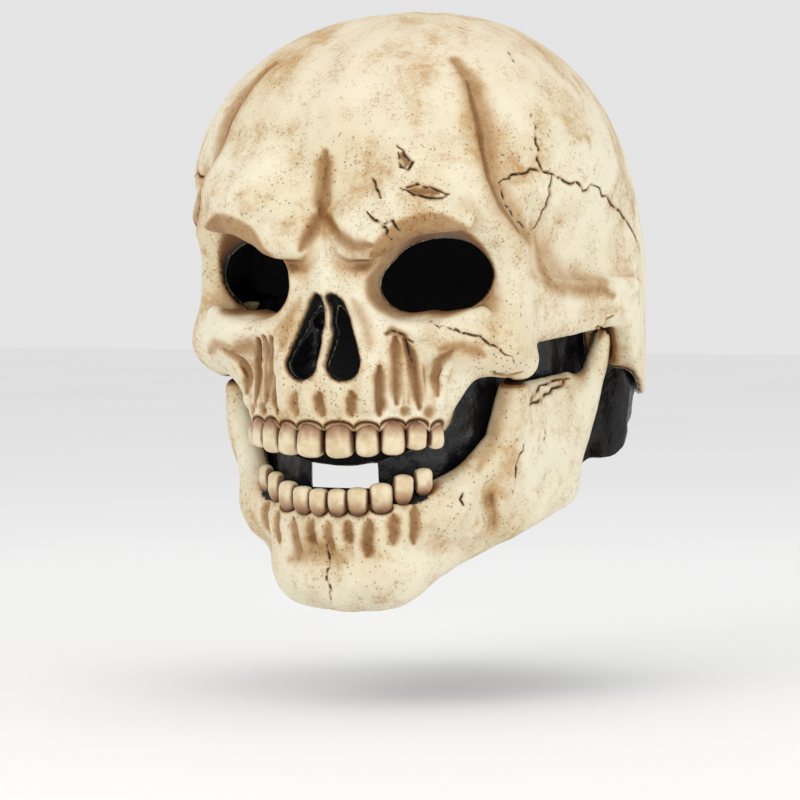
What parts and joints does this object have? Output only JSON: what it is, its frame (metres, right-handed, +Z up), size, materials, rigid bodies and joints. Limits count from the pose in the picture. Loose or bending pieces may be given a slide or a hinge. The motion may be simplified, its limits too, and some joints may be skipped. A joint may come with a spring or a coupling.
{
  "type": "skull mask",
  "caption": "Full-head latex skull mask with a hanging jaw, two rows of teeth, a black under-skin and open eyes, mouth and neck.",
  "frame": {"origin": "inside of the crown, where the top of the wearer's head carries the mask", "axes": "+X to the wearer's left, +Y to the back of the head, +Z up"},
  "size_m": [0.1778, 0.2153, 0.2413],
  "materials": {
    "bone_latex": "matt hand-painted latex, cream with brown shading",
    "tooth_latex": "satin hand-painted latex, cream with brown gum lines",
    "black_latex": "glossy black latex"
  },
  "bodies": {
    "root": {"skull_shell": "bone_latex", "lower_jaw": "bone_latex", "under_skin": "black_latex", "nose_lining": "black_latex", "upper_tooth_l1": "tooth_latex", "upper_tooth_l2": "tooth_latex", "upper_tooth_l3": "tooth_latex", "upper_tooth_l4": "tooth_latex", "upper_tooth_l5": "tooth_latex", "upper_tooth_r1": "tooth_latex", "upper_tooth_r2": "tooth_latex", "upper_tooth_r3": "tooth_latex", "upper_tooth_r4": "tooth_latex", "upper_tooth_r5": "tooth_latex", "lower_tooth_l1": "tooth_latex", "lower_tooth_l2": "tooth_latex", "lower_tooth_l3": "tooth_latex", "lower_tooth_l4": "tooth_latex", "lower_tooth_l5": "tooth_latex", "lower_tooth_r1": "tooth_latex", "lower_tooth_r2": "tooth_latex", "lower_tooth_r3": "tooth_latex", "lower_tooth_r4": "tooth_latex", "lower_tooth_r5": "tooth_latex"}
  },
  "joints": []
}
